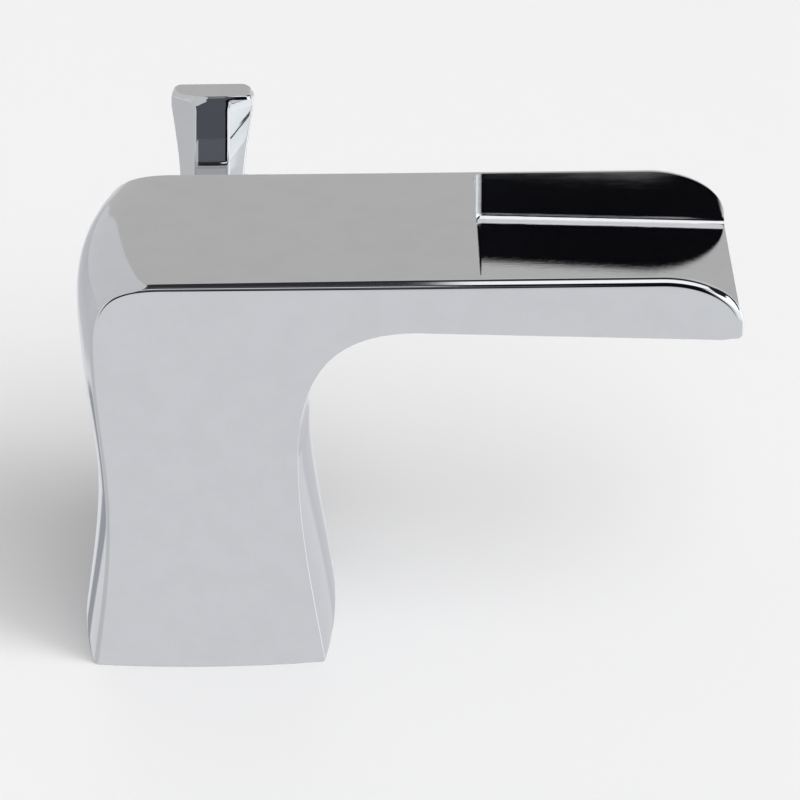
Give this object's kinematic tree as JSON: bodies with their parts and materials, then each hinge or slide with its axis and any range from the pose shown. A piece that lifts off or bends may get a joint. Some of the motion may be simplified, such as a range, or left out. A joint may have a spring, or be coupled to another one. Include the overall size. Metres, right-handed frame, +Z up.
{
  "type": "waterfall basin faucet",
  "caption": "Single lever basin mixer with a square curved column, a flat spout ending in an open trough and a flared side lever.",
  "frame": {"origin": "on the deck, at the centre of the column's foot and of the hole in the deck below it", "axes": "+X towards the spout's tip, +Y towards the side that carries the lever, +Z up"},
  "size_m": [0.1651, 0.0825, 0.1275],
  "materials": {
    "chrome_body": "polished",
    "chrome_trim": "polished",
    "rubber": "matte",
    "white_plastic": "matte",
    "cartridge_plastic": "matte",
    "carrier_plastic": "matte",
    "ring_plastic": "matte",
    "index_plastic": "gloss",
    "ceramic": "lapped",
    "brass": "machined",
    "steel": "machined"
  },
  "bodies": {
    "root": {"body_casting": "chrome_body", "base_gasket": "rubber", "flow_guide": "white_plastic", "cartridge_base": "cartridge_plastic", "inlet_port_seals": "rubber", "outlet_port_seal": "rubber", "disc_seals": "rubber", "cartridge_housing": "cartridge_plastic", "fixed_disc": "ceramic", "slip_ring": "white_plastic", "retaining_nut": "brass", "dome_seal": "rubber", "dome_cap": "chrome_trim"},
    "turret": {"turret": "carrier_plastic", "turret_seal": "rubber", "spindle_pin": "steel", "temperature_ring": "ring_plastic"},
    "lever": {"handle": "chrome_trim", "spindle": "brass", "grub_screw": "steel", "index_plug": "index_plastic"},
    "disc": {"moving_disc": "ceramic", "disc_carrier": "carrier_plastic"}
  },
  "joints": [
    {"name": "temperature", "type": "hinge", "parent": "root", "child": "turret", "pos_m": [0.0022, 0.0293, 0.064], "axis": [0, 1, 0], "range_deg": [-45, 45]},
    {"name": "flow", "type": "hinge", "parent": "turret", "child": "lever", "pos_m": [0.0022, 0.0293, 0.064], "axis": [-1, 0, 0], "range_deg": [0, 24]},
    {"name": "disc_slide", "type": "slide", "parent": "turret", "child": "disc", "axis": [0, 0, 1], "range_m": [0, 0.00541]}
  ],
  "couplings": [
    {"joint": "disc_slide", "follows": "flow", "m_per_rad": 0.012905}
  ]
}
